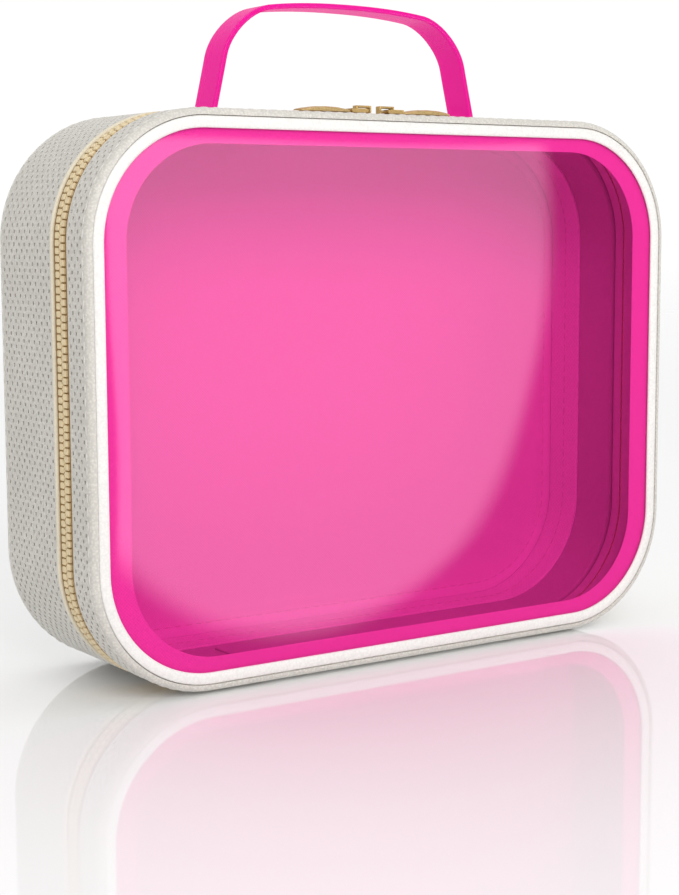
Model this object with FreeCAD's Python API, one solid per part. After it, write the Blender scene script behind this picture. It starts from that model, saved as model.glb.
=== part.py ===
"""Zip-round makeup train case with a clear front and a strap handle, in millimetres.

X runs across the case, Y from its clear front to its back, and Z up. The origin is under
the middle of the case, on the surface that it stands on. The case is two trays that open
like a book on a hinge along the bottom: the lid in front, with the clear window, and the
body behind, with the handle. A metal zipper with two sliders closes them round the other
three sides.
"""
import FreeCAD
import Part
import math
import os

# The whole case, over the outside of its walls
CASE_WIDTH = 248.0
CASE_HEIGHT = 193.0
CASE_DEPTH = 67.4
CORNER_RADIUS = 44.0
ZIP_FROM_FRONT = 20.0

# Layers of the side walls, from the outside in
SKIN = 1.0
FOAM = 2.0
LINING = 0.6

# Sewn front and back edges
SHOULDER = 3.0
FOAM_BACK_FROM_EDGE = 3.5
WELT_WIDTH = 3.0
WELT_THICKNESS = 0.8

# Clear front, and the seam allowance that shows behind it
WINDOW_THICKNESS = 0.5
ALLOWANCE_THICKNESS = 0.6
ALLOWANCE_SIDES = 9.0
ALLOWANCE_ENDS = 5.5
ALLOWANCE_CORNER = 32.0

# Layers of the back panel, from the outside in
BACK_SKIN = 0.8
BACK_FOAM = 3.0
BACK_BOARD = 1.6
BINDING_WIDTH = 16.4
BINDING_THICKNESS = 0.8

# Zipper chain, which runs along the middle of the gap between the two trays
ZIP_GAP = 10.6
TAPE = 0.7
TAPE_UNDER_SKIN = 8.0
TOOTH_PITCH = 2.54
TOOTH_LENGTH = 1.5
TOOTH_HEIGHT = 2.2
TOOTH_REACH = 3.0
CHAIN_SLOT = 1.2
STOP_LENGTH = 2.4

# Zipper sliders
SLIDER_LENGTH = 11.0
SLIDER_WIDTH = 9.2
SLIDER_FROM_MIDDLE = 1.0
PLATE = 0.9
TOOTH_CLEARANCE = 0.3
TAPE_CLEARANCE = 0.4
NECK_WIDTH = 0.8
NECK_LENGTH = 3.0
CHAIN_BREAK_CLEARANCE = 1.5

# Slider bridges and pulls
BRIDGE_LENGTH = 6.4
BRIDGE_WIDTH = 2.6
BRIDGE_STRIP = 0.8
PULL_PIVOT_FROM_END = 4.0
PULL_BAR_RADIUS = 0.7
PULL_CLEARANCE = 0.4
PULL_RING_WIDTH = 6.0
PULL_RING_WALL = 1.3
PULL_RING_LENGTH = 6.2
PULL_TAB_LENGTH = 21.5
PULL_TAB_WIDTH = 8.0
PULL_TAB_THICKNESS = 1.8

# Hinge along the bottom
HINGE_WIDTH = 116.0
HINGE_PANEL = 1.0
HINGE_PANEL_FRONT = 16.0
HINGE_PANEL_BACK = 26.0
HINGE_LINING_FRONT = 13.0
HINGE_LINING_BACK = 18.6
HINGE_LINING_INSET = 1.0
HINGE_SPLIT = 0.6
ZIP_PAST_HINGE = 2.0

# Strap handle
HANDLE_SPAN = 115.2
HANDLE_HEIGHT = 40.7
HANDLE_WIDTH = 13.5
HANDLE_THICKNESS = 1.8
HANDLE_FROM_BACK = 25.75
HANDLE_LEG = 21.0
HANDLE_LEAN = 4.8
HANDLE_CROWN_SPAN = 68.0
HANDLE_CROWN_RISE = 2.0
HANDLE_CORNER_BULGE = 4.3
HANDLE_CLEARANCE = 0.55

# Handle ends inside the case
SLIT_CLEARANCE = 0.3
FOOT_LENGTH = 20.0
FOOT_THICKNESS = 2.0
ROOT_BELOW_TOP = 0.3
PLATE_THICKNESS = 0.8
PLATE_MARGIN = 2.0
RIVET_RADIUS = 1.6
RIVET_HEAD_RADIUS = 3.0
RIVET_HEAD_THICKNESS = 1.0
RIVET_SPACING = 8.0

FRONT = -CASE_DEPTH / 2
BACK = CASE_DEPTH / 2
BASE = HINGE_PANEL
TOP = BASE + CASE_HEIGHT
MIDDLE = BASE + CASE_HEIGHT / 2
ZIP = FRONT + ZIP_FROM_FRONT
LID_MOUTH = ZIP - ZIP_GAP / 2
BODY_MOUTH = ZIP + ZIP_GAP / 2
WALL = SKIN + FOAM + LINING
ZIP_END = HINGE_WIDTH / 2 + ZIP_PAST_HINGE


def save(name, shape):
    """Write one sub-part to its own STEP file."""
    shape.exportStep("parts/" + name + ".step")


def block(x_ends, y_ends, z_ends):
    """Box between two values along each axis, given in either order."""
    lows = [min(ends) for ends in (x_ends, y_ends, z_ends)]
    sizes = [abs(ends[1] - ends[0]) for ends in (x_ends, y_ends, z_ends)]
    return Part.makeBox(*sizes, FreeCAD.Vector(*lows))


def rounded_slab(half_width, half_height, radius, y_ends):
    """Slab with rounded corners, standing upright round the middle of the case."""
    y = min(y_ends)
    arc = radius * math.sqrt(0.5)
    edges = []
    turns = ((1, 1), (-1, 1), (-1, -1), (1, -1))
    for index, (side, up) in enumerate(turns):
        centre_x = side * (half_width - radius)
        centre_z = MIDDLE + up * (half_height - radius)
        beside = FreeCAD.Vector(centre_x + side * radius, y, centre_z)
        above = FreeCAD.Vector(centre_x, y, centre_z + up * radius)
        corner = FreeCAD.Vector(centre_x + side * arc, y, centre_z + up * arc)
        ends = (beside, above) if index % 2 == 0 else (above, beside)
        if edges:
            edges.append(Part.LineSegment(last, ends[0]).toShape())
        else:
            first = ends[0]
        edges.append(Part.Arc(ends[0], corner, ends[1]).toShape())
        last = ends[1]
    edges.append(Part.LineSegment(last, first).toShape())
    face = Part.Face(Part.Wire(edges))
    return face.extrude(FreeCAD.Vector(0, abs(y_ends[1] - y_ends[0]), 0))


def slab(inset, *y_ends):
    """Slab with the outline of the case, set in from the outside."""
    return rounded_slab(CASE_WIDTH / 2 - inset, CASE_HEIGHT / 2 - inset, CORNER_RADIUS - inset, y_ends)


def ring(outer_inset, inner_inset, *y_ends):
    """Band that follows the outline of the case between two insets."""
    return slab(outer_inset, *y_ends).cut(slab(inner_inset, *y_ends))


def rounded_edge(solid, y, radius):
    """Round the edge of a slab where it meets one of its flat ends."""
    edges = [edge for edge in solid.Edges if all(abs(v.Y - y) < 1e-6 for v in edge.Vertexes)]
    return solid.makeFillet(radius, edges)


def inward(edge_y, distance):
    """The Y value this far in from the front or back edge of the case."""
    return edge_y - math.copysign(distance, edge_y)


# ---------------------------------------------------------------- side walls

def gusset_skin(edge_y, mouth_y):
    """Perforated outer skin of one tray's side wall, rolled over at its shoulder."""
    inner_y = inward(edge_y, SKIN)
    outside = rounded_edge(slab(0.0, edge_y, mouth_y), edge_y, SHOULDER)
    inside = rounded_edge(slab(SKIN, inner_y, mouth_y), inner_y, SHOULDER - SKIN)
    return outside.cut(inside).cut(slab(SHOULDER, edge_y, inner_y))


def gusset_foam(edge_y, mouth_y):
    """Padding of one tray's side wall, thinner where the zipper tape lies over it."""
    start_y = inward(edge_y, FOAM_BACK_FROM_EDGE)
    tape_y = mouth_y + math.copysign(TAPE_UNDER_SKIN, edge_y)
    full = ring(SKIN, SKIN + FOAM, start_y, tape_y)
    thin = ring(SKIN + TAPE, SKIN + FOAM, tape_y, mouth_y)
    return full.fuse(thin).removeSplitter()


def gusset_lining(panel_y, mouth_y):
    """Inner lining of one tray's side wall."""
    return ring(SKIN + FOAM, WALL, panel_y, mouth_y)


def welt(edge_y):
    """Flat welt sewn round the front or back opening."""
    return ring(SHOULDER, SHOULDER + WELT_WIDTH, edge_y, inward(edge_y, WELT_THICKNESS))


# ---------------------------------------------------------------- front and back

WINDOW_BACK = FRONT + WELT_THICKNESS + WINDOW_THICKNESS
ALLOWANCE_BACK = WINDOW_BACK + ALLOWANCE_THICKNESS
BACK_SKIN_IN = BACK - WELT_THICKNESS - BACK_SKIN
BACK_FOAM_IN = BACK_SKIN_IN - BACK_FOAM
BACK_BOARD_IN = BACK_FOAM_IN - BACK_BOARD
BACK_LINING_IN = BACK_BOARD_IN - LINING


def window_sheet():
    """Clear flexible front sheet."""
    return slab(SHOULDER, FRONT + WELT_THICKNESS, WINDOW_BACK)


def window_allowance():
    """Opaque seam allowance behind the edge of the clear sheet."""
    edge = SHOULDER + WELT_WIDTH
    y_ends = (WINDOW_BACK, ALLOWANCE_BACK)
    half_width = CASE_WIDTH / 2 - edge - ALLOWANCE_SIDES
    half_height = CASE_HEIGHT / 2 - edge - ALLOWANCE_ENDS
    clear = rounded_slab(half_width, half_height, ALLOWANCE_CORNER, y_ends)
    return slab(SHOULDER, *y_ends).cut(clear)


def seam_binding():
    """Wide tape that covers the back seam inside the case."""
    front_y = BACK_LINING_IN - BINDING_WIDTH
    return ring(WALL, WALL + BINDING_THICKNESS, front_y, BACK_LINING_IN)


# ---------------------------------------------------------------- zipper

CHAIN_INSET = SKIN + TAPE / 2


def chain_length():
    """Length of the chain from the top middle of the case to one end under the case."""
    radius = CORNER_RADIUS - CHAIN_INSET
    flats = (CASE_WIDTH / 2 - CORNER_RADIUS) * 2 + CASE_HEIGHT - 2 * CORNER_RADIUS
    return flats + math.pi * radius - ZIP_END


def chain_place(distance):
    """Place on the chain this far to the right of the top middle: X, Z and degrees turned."""
    radius = CORNER_RADIUS - CHAIN_INSET
    across = CASE_WIDTH / 2 - CORNER_RADIUS
    up = CASE_HEIGHT / 2 - CORNER_RADIUS
    quarter = math.pi * radius / 2
    if distance <= across:
        return distance, MIDDLE + up + radius, 0.0
    distance -= across
    if distance <= quarter:
        turn = distance / radius
        return across + radius * math.sin(turn), MIDDLE + up + radius * math.cos(turn), math.degrees(turn)
    distance -= quarter
    if distance <= 2 * up:
        return across + radius, MIDDLE + up - distance, 90.0
    distance -= 2 * up
    if distance <= quarter:
        turn = distance / radius
        return across + radius * math.cos(turn), MIDDLE - up - radius * math.sin(turn), 90.0 + math.degrees(turn)
    return across - (distance - quarter), MIDDLE - up - radius, 180.0


def chain_piece(distance, side, length, y_ends):
    """Small block fixed to the tape at one place on the chain."""
    x, z, turn = chain_place(distance)
    piece = block((-length / 2, length / 2), y_ends, (-TOOTH_HEIGHT / 2, TOOTH_HEIGHT / 2))
    piece.rotate(FreeCAD.Vector(), FreeCAD.Vector(0, 1, 0), side * turn)
    piece.translate(FreeCAD.Vector(side * x, ZIP, z))
    return piece


def half_chain(way, first):
    """Every tooth on one tape, from a first place on each side of the top middle."""
    y_ends = (way * CHAIN_SLOT / 2, way * TOOTH_REACH)
    count = int((chain_length() - STOP_LENGTH - first) / TOOTH_PITCH)
    teeth = []
    for side in (-1, 1):
        for index in range(count):
            teeth.append(chain_piece(first + index * TOOTH_PITCH, side, TOOTH_LENGTH, y_ends))
    return Part.makeCompound(teeth)


def end_stops(way):
    """The two stops at the ends of one tape."""
    y_ends = (way * CHAIN_SLOT / 2, way * TOOTH_REACH)
    place = chain_length() - STOP_LENGTH / 2
    return Part.makeCompound([chain_piece(place, side, STOP_LENGTH, y_ends) for side in (-1, 1)])


def zipper_tape(mouth_y, way):
    """Woven tape from behind the teeth to where it is sewn under the skin."""
    y_ends = (ZIP + way * TOOTH_REACH, mouth_y + way * TAPE_UNDER_SKIN)
    hinge_zone = block((-ZIP_END, ZIP_END), y_ends, (BASE, MIDDLE))
    return ring(SKIN, SKIN + TAPE, *y_ends).cut(hinge_zone)


def slider_body(side):
    """Slider: two plates, side flanges with a slit for the tape, and the neck between them."""
    half = SLIDER_WIDTH / 2
    chain_z = TOP - CHAIN_INSET
    plate_z = TOOTH_HEIGHT / 2 + TOOTH_CLEARANCE
    slit_z = TAPE / 2 + TAPE_CLEARANCE
    x_ends = (side * SLIDER_FROM_MIDDLE, side * (SLIDER_FROM_MIDDLE + SLIDER_LENGTH))
    neck_x = (x_ends[0], x_ends[0] + side * NECK_LENGTH)
    neck_y = (ZIP - NECK_WIDTH / 2, ZIP + NECK_WIDTH / 2)
    body = block(neck_x, neck_y, (chain_z - plate_z, chain_z + plate_z))
    for up in (-1, 1):
        plate_ends = (chain_z + up * plate_z, chain_z + up * (plate_z + PLATE))
        body = body.fuse(block(x_ends, (ZIP - half, ZIP + half), plate_ends))
        for way in (-1, 1):
            flange_y = (ZIP + way * (TOOTH_REACH + TOOTH_CLEARANCE), ZIP + way * half)
            body = body.fuse(block(x_ends, flange_y, (chain_z + up * slit_z, chain_z + up * plate_z)))
    return body.removeSplitter()


SLIDER_TOP = TOP - CHAIN_INSET + TOOTH_HEIGHT / 2 + TOOTH_CLEARANCE + PLATE
PULL_AXIS_X = SLIDER_FROM_MIDDLE + PULL_PIVOT_FROM_END
PULL_AXIS_Z = SLIDER_TOP + PULL_CLEARANCE + PULL_BAR_RADIUS


def slider_bridge(side):
    """Arched strip on the slider that holds the pull."""
    half = BRIDGE_LENGTH / 2
    inner_top = PULL_AXIS_Z + PULL_BAR_RADIUS + PULL_CLEARANCE
    y_ends = (ZIP - BRIDGE_WIDTH / 2, ZIP + BRIDGE_WIDTH / 2)
    middle = side * PULL_AXIS_X
    arch = block((middle - half, middle + half), y_ends, (SLIDER_TOP, inner_top + BRIDGE_STRIP))
    inner = half - BRIDGE_STRIP
    return arch.cut(block((middle - inner, middle + inner), y_ends, (SLIDER_TOP, inner_top)))


def pull_ring(side):
    """Wire ring of the pull: a round bar under the bridge, two side arms and an outer bar."""
    half = PULL_RING_WIDTH / 2
    axis_x = side * PULL_AXIS_X
    z_ends = (PULL_AXIS_Z - PULL_BAR_RADIUS, PULL_AXIS_Z + PULL_BAR_RADIUS)
    outer_x = axis_x + side * PULL_RING_LENGTH
    start = FreeCAD.Vector(axis_x, ZIP - half, PULL_AXIS_Z)
    ring_solid = Part.makeCylinder(PULL_BAR_RADIUS, PULL_RING_WIDTH, start, FreeCAD.Vector(0, 1, 0))
    for way in (-1, 1):
        arm_y = (ZIP + way * (half - PULL_RING_WALL), ZIP + way * half)
        ring_solid = ring_solid.fuse(block((axis_x, outer_x), arm_y, z_ends))
    outer_bar = block((outer_x - side * PULL_RING_WALL, outer_x), (ZIP - half, ZIP + half), z_ends)
    return ring_solid.fuse(outer_bar).removeSplitter()


def pull_tab(side):
    """Flat textured tab on the outer bar of the ring."""
    inner_x = side * (PULL_AXIS_X + PULL_RING_LENGTH)
    x_ends = (inner_x, inner_x + side * PULL_TAB_LENGTH)
    y_ends = (ZIP - PULL_TAB_WIDTH / 2, ZIP + PULL_TAB_WIDTH / 2)
    low_z = PULL_AXIS_Z - PULL_BAR_RADIUS
    return block(x_ends, y_ends, (low_z, low_z + PULL_TAB_THICKNESS))


# ---------------------------------------------------------------- hinge

def hinge_strip(width, y_reach, z_ends, way):
    """Half of a hinge strip, from the hinge line out to one tray."""
    y_ends = (ZIP + way * HINGE_SPLIT / 2, ZIP + way * y_reach)
    return block((-width / 2, width / 2), y_ends, z_ends)


def hinge_panel(way, y_reach):
    """Outer hinge strip under the case."""
    return hinge_strip(HINGE_WIDTH, y_reach, (0.0, BASE), way)


def hinge_lining(way, y_reach):
    """Inner hinge strip over the lining."""
    z_ends = (BASE + WALL, BASE + WALL + LINING)
    return hinge_strip(HINGE_WIDTH - 2 * HINGE_LINING_INSET, y_reach, z_ends, way)


# ---------------------------------------------------------------- handle

HANDLE_Y = BACK - HANDLE_FROM_BACK
HANDLE_Y_ENDS = (HANDLE_Y - HANDLE_WIDTH / 2, HANDLE_Y + HANDLE_WIDTH / 2)
HANDLE_AXIS_Z = TOP + HANDLE_CLEARANCE + HANDLE_WIDTH / 2
RIVET_MIDDLE = FOOT_LENGTH / 2 + HANDLE_THICKNESS / 2


def handle_arch():
    """Side view of the strap as a solid as deep as the strap is wide, run on past its ends."""
    half = HANDLE_SPAN / 2
    slope = HANDLE_LEAN / HANDLE_LEG
    y = HANDLE_Y_ENDS[0]
    crown_z = TOP + HANDLE_HEIGHT - HANDLE_CROWN_RISE

    def point(x, z):
        return FreeCAD.Vector(x, y, z)

    leg_x = half - HANDLE_LEAN
    leg_z = TOP + HANDLE_LEG
    crown_x = HANDLE_CROWN_SPAN / 2
    chord = math.hypot(leg_x - crown_x, crown_z - leg_z)
    corner_x = (leg_x + crown_x) / 2 + HANDLE_CORNER_BULGE * (crown_z - leg_z) / chord
    corner_z = (leg_z + crown_z) / 2 + HANDLE_CORNER_BULGE * (leg_x - crown_x) / chord
    foot_x = half + slope * HANDLE_LEG
    foot_z = TOP - HANDLE_LEG
    edges = [
        Part.LineSegment(point(-foot_x, foot_z), point(-leg_x, leg_z)).toShape(),
        Part.Arc(point(-leg_x, leg_z), point(-corner_x, corner_z), point(-crown_x, crown_z)).toShape(),
        Part.Arc(point(-crown_x, crown_z), point(0, TOP + HANDLE_HEIGHT), point(crown_x, crown_z)).toShape(),
        Part.Arc(point(crown_x, crown_z), point(corner_x, corner_z), point(leg_x, leg_z)).toShape(),
        Part.LineSegment(point(leg_x, leg_z), point(foot_x, foot_z)).toShape(),
        Part.LineSegment(point(foot_x, foot_z), point(-foot_x, foot_z)).toShape(),
    ]
    outer = Part.Face(Part.Wire(edges))
    inner = outer.makeOffset2D(-HANDLE_THICKNESS)
    return outer.cut(inner).extrude(FreeCAD.Vector(0, HANDLE_WIDTH, 0))


def handle_strap():
    """Strap above the case, with its two lower ends rounded about the line it folds on."""
    reach = HANDLE_SPAN
    above = block((-reach, reach), HANDLE_Y_ENDS, (HANDLE_AXIS_Z, TOP + 2 * HANDLE_HEIGHT))
    start = FreeCAD.Vector(-reach, HANDLE_Y, HANDLE_AXIS_Z)
    rounds = Part.makeCylinder(HANDLE_WIDTH / 2, 2 * reach, start, FreeCAD.Vector(1, 0, 0))
    return handle_arch().common(above.fuse(rounds)).removeSplitter()


def handle_root(side):
    """Strap end inside the case: down through its slit, then folded flat under the lining."""
    outer_x = side * HANDLE_SPAN / 2
    lining_z = TOP - WALL
    down = block((outer_x, outer_x - side * HANDLE_THICKNESS), HANDLE_Y_ENDS,
                 (lining_z - FOOT_THICKNESS, TOP - ROOT_BELOW_TOP))
    foot = block((outer_x, outer_x - side * (HANDLE_THICKNESS + FOOT_LENGTH)), HANDLE_Y_ENDS,
                 (lining_z - FOOT_THICKNESS, lining_z))
    return down.fuse(foot).removeSplitter().cut(rivet_group(side, 0.0))


def handle_slit(side):
    """Space that a strap end needs through the side wall."""
    outer_x = side * (HANDLE_SPAN / 2 + SLIT_CLEARANCE)
    inner_x = side * (HANDLE_SPAN / 2 - HANDLE_THICKNESS - SLIT_CLEARANCE)
    y_ends = (HANDLE_Y_ENDS[0] - SLIT_CLEARANCE, HANDLE_Y_ENDS[1] + SLIT_CLEARANCE)
    return block((outer_x, inner_x), y_ends, (TOP - WALL, TOP + SKIN))


def foot_space(side):
    """Space that a folded strap end and its rivets need inside the lining."""
    outer_x = side * (HANDLE_SPAN / 2 + SLIT_CLEARANCE)
    inner_x = side * (HANDLE_SPAN / 2 - HANDLE_THICKNESS - FOOT_LENGTH - SLIT_CLEARANCE)
    y_ends = (HANDLE_Y_ENDS[0] - SLIT_CLEARANCE, HANDLE_Y_ENDS[1] + SLIT_CLEARANCE)
    return block((outer_x, inner_x), y_ends, (TOP - WALL - FOOT_THICKNESS, TOP - WALL))


def handle_plate(side):
    """Stiff plate buried in the padding, which the rivets pull against."""
    inner_x = HANDLE_SPAN / 2 - HANDLE_THICKNESS - PLATE_MARGIN
    x_ends = (side * inner_x, side * (inner_x - FOOT_LENGTH + PLATE_MARGIN))
    low_z = TOP - SKIN - FOAM
    return block(x_ends, HANDLE_Y_ENDS, (low_z, low_z + PLATE_THICKNESS))


def rivet_group(side, head_thickness):
    """Two rivets through a strap end and the lining, into the plate."""
    middle_x = HANDLE_SPAN / 2 - HANDLE_THICKNESS - RIVET_MIDDLE
    foot_z = TOP - WALL - FOOT_THICKNESS
    plate_z = TOP - SKIN - FOAM + PLATE_THICKNESS
    up = FreeCAD.Vector(0, 0, 1)
    rivets = []
    for offset in (-RIVET_SPACING / 2, RIVET_SPACING / 2):
        start = FreeCAD.Vector(side * (middle_x + offset), HANDLE_Y, foot_z)
        rivet = Part.makeCylinder(RIVET_RADIUS, plate_z - foot_z, start, up)
        if head_thickness:
            head_start = start - FreeCAD.Vector(0, 0, head_thickness)
            head = Part.makeCylinder(RIVET_HEAD_RADIUS, head_thickness, head_start, up)
            rivet = rivet.fuse(head).removeSplitter()
        rivets.append(rivet)
    return Part.makeCompound(rivets)


# ---------------------------------------------------------------- the two trays

def save_body():
    """The back tray: its walls, back panel, half of the zipper and the handle's ends."""
    skin = gusset_skin(BACK, BODY_MOUTH)
    foam = gusset_foam(BACK, BODY_MOUTH)
    lining = gusset_lining(BACK_SKIN_IN, BODY_MOUTH)
    tape = zipper_tape(BODY_MOUTH, 1)
    binding = seam_binding()
    for side in (-1, 1):
        slit = handle_slit(side)
        rivets = rivet_group(side, 0.0)
        skin = skin.cut(slit)
        tape = tape.cut(slit)
        binding = binding.cut(foot_space(side))
        foam = foam.cut(slit).cut(handle_plate(side)).cut(rivets)
        lining = lining.cut(slit).cut(rivets)
    save("rear_gusset_skin", skin)
    save("rear_gusset_foam", foam)
    save("rear_gusset_lining", lining)
    save("rear_welt", welt(BACK))
    save("back_panel_skin", slab(SHOULDER, BACK - WELT_THICKNESS, BACK_SKIN_IN))
    save("back_panel_foam", slab(WALL, BACK_SKIN_IN, BACK_FOAM_IN))
    save("back_panel_board", slab(WALL, BACK_FOAM_IN, BACK_BOARD_IN))
    save("back_panel_lining", slab(WALL, BACK_BOARD_IN, BACK_LINING_IN))
    save("rear_seam_binding", binding)
    save("zipper_tape_rear", tape)
    save("zipper_teeth_rear", half_chain(1, TOOTH_PITCH / 2))
    save("zipper_stops_rear", end_stops(1))
    save("hinge_panel_rear", hinge_panel(1, HINGE_PANEL_BACK))
    save("hinge_lining_rear", hinge_lining(1, HINGE_LINING_BACK))


def save_lid():
    """The front tray: its walls, the clear window and the other half of the zipper."""
    slider_end = SLIDER_FROM_MIDDLE + SLIDER_LENGTH + CHAIN_BREAK_CLEARANCE
    first = TOOTH_PITCH * math.ceil((slider_end + TOOTH_LENGTH / 2) / TOOTH_PITCH)
    save("front_gusset_skin", gusset_skin(FRONT, LID_MOUTH))
    save("front_gusset_foam", gusset_foam(FRONT, LID_MOUTH))
    save("front_gusset_lining", gusset_lining(ALLOWANCE_BACK, LID_MOUTH))
    save("front_welt", welt(FRONT))
    save("window_sheet", window_sheet())
    save("window_allowance", window_allowance())
    save("zipper_tape_lid", zipper_tape(LID_MOUTH, -1))
    save("zipper_teeth_lid", half_chain(-1, first))
    save("zipper_stops_lid", end_stops(-1))
    save("hinge_panel_lid", hinge_panel(-1, HINGE_PANEL_FRONT))
    save("hinge_lining_lid", hinge_lining(-1, HINGE_LINING_FRONT))


def save_handle():
    """The strap handle and what holds its ends."""
    save("handle_strap", handle_strap())
    save("handle_plates", Part.makeCompound([handle_plate(side).cut(rivet_group(side, 0.0)) for side in (-1, 1)]))
    rivets = []
    for side, name in ((-1, "left"), (1, "right")):
        save("handle_root_" + name, handle_root(side))
        rivets.extend(rivet_group(side, RIVET_HEAD_THICKNESS).Solids)
    save("handle_rivets", Part.makeCompound(rivets))


def save_sliders():
    """The two sliders and their pulls, which meet at the top middle."""
    for side, name in ((-1, "left"), (1, "right")):
        save("slider_body_" + name, slider_body(side))
        save("slider_bridge_" + name, slider_bridge(side))
        save("pull_ring_" + name, pull_ring(side))
        save("pull_tab_" + name, pull_tab(side))


def main():
    os.makedirs("parts", exist_ok=True)
    save_body()
    save_lid()
    save_handle()
    save_sliders()


main()
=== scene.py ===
import math

import bmesh
import bpy
from mathutils import Matrix, Vector
from mathutils.geometry import interpolate_bezier


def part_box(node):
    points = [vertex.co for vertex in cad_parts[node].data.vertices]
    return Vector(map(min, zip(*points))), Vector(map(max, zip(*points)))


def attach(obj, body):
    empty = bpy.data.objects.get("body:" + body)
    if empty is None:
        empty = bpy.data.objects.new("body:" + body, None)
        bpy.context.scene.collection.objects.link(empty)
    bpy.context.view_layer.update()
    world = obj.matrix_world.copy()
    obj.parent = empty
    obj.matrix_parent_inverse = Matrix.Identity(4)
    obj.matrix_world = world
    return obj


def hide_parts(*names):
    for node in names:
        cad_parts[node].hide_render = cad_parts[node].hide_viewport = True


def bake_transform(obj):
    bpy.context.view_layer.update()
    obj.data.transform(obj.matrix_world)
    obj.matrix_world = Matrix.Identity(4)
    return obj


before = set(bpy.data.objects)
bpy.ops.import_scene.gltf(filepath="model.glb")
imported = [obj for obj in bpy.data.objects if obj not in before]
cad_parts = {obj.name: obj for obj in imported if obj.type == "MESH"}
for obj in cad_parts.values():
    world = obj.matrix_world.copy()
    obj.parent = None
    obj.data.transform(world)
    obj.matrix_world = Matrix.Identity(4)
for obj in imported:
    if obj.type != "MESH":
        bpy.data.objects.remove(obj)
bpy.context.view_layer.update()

MM = 0.001

# ---------------------------------------------------------------- sizes

CORNER = 44.0 * MM
SKIN = 1.0 * MM
SHOULDER_WIDTH = 2.3 * MM
SHOULDER_DEPTH = 2.3 * MM
WELT_WIDTH = 4.2 * MM
PANEL_INSET = 3.0 * MM
FILM_THICKNESS = 0.4 * MM
ALLOWANCE_SIDES = 12.0 * MM
ALLOWANCE_ENDS = 8.5 * MM
ALLOWANCE_CORNER = 32.0 * MM

HOLE_ROWS = 2.15 * MM
HOLE_COLUMNS = 2.05 * MM
HOLE_RIM = 0.44 * MM
HOLE_ROUNDING = 0.24 * MM
HOLE_DEPTH = 0.8 * MM

TOOTH_PITCH = 2.54 * MM
TOOTH_REACH = 3.0 * MM
TOOTH_INSET = 1.2 * MM
CHAIN_START = 64.0 * MM
SLIDER_RUN = 84.0 * MM
STITCH_PITCH = 4.4 * MM
STITCH_LENGTH = 3.1 * MM
THREAD = 0.42 * MM
AROUND_STEP = 2.2 * MM

rear_low, rear_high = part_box("rear_gusset_skin")
front_low, front_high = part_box("front_gusset_skin")
FRONT = front_low.y
BACK = rear_high.y
LID_MOUTH = front_high.y
BODY_MOUTH = rear_low.y
ZIP = (LID_MOUTH + BODY_MOUTH) / 2
HALF_WIDTH = rear_high.x
HALF_HEIGHT = (rear_high.z - rear_low.z) / 2
MIDDLE = (rear_high.z + rear_low.z) / 2
TOP = rear_high.z


class Outline:
    """Rounded rectangle round the middle of the case, followed from its bottom middle to the right."""

    def __init__(self, half_width, half_height, radius):
        across = half_width - radius
        up = half_height - radius
        corners = ((across, -up), (across, up), (-across, up), (-across, -up))
        self.radius = radius
        self.runs = []
        start = (0.0, -up)
        for quarter, corner in enumerate(corners):
            turn = (quarter - 1) * math.pi / 2
            self.runs.append((math.dist(start, corner), start, corner, turn, turn))
            self.runs.append((radius * math.pi / 2, corner, corner, turn, turn + math.pi / 2))
            start = corner
        self.runs.append((across, start, (0.0, -up), 1.5 * math.pi, 1.5 * math.pi))
        self.length = sum(run[0] for run in self.runs)

    def place(self, distance, inset=0.0):
        """Point this far along and in from the outline, and the direction that faces out of it."""
        distance = min(max(distance, 0.0), self.length)
        for run in self.runs:
            if distance <= run[0] + 1e-9:
                break
            distance -= run[0]
        share = distance / run[0]
        centre = [a + (b - a) * share for a, b in zip(run[1], run[2])]
        turn = run[3] + (run[4] - run[3]) * share
        out = Vector((math.cos(turn), 0.0, math.sin(turn)))
        return Vector((centre[0], 0.0, MIDDLE + centre[1])) + out * (self.radius - inset), out


CASE = Outline(HALF_WIDTH, HALF_HEIGHT, CORNER)


# ---------------------------------------------------------------- shader maths

class Wire:
    """Output of a shader node. Arithmetic on it adds Math nodes."""

    def __init__(self, finish, socket):
        self.finish = finish
        self.socket = socket

    def maths(self, operation, *values):
        return self.finish.node("ShaderNodeMath", {"operation": operation}, dict(enumerate(values)))

    def __add__(self, other):
        return self.maths("ADD", self, other)

    def __sub__(self, other):
        return self.maths("SUBTRACT", self, other)

    def __rsub__(self, other):
        return self.maths("SUBTRACT", other, self)

    def __mul__(self, other):
        return self.maths("MULTIPLY", self, other)

    __radd__ = __add__
    __rmul__ = __mul__

    def below(self, level):
        return self.maths("LESS_THAN", self, level)

    def sine(self):
        return self.maths("SINE", self)

    def size(self):
        return self.maths("ABSOLUTE", self)

    def power(self, exponent):
        return self.maths("POWER", self, exponent)

    def root(self):
        return self.maths("SQRT", self)


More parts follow.
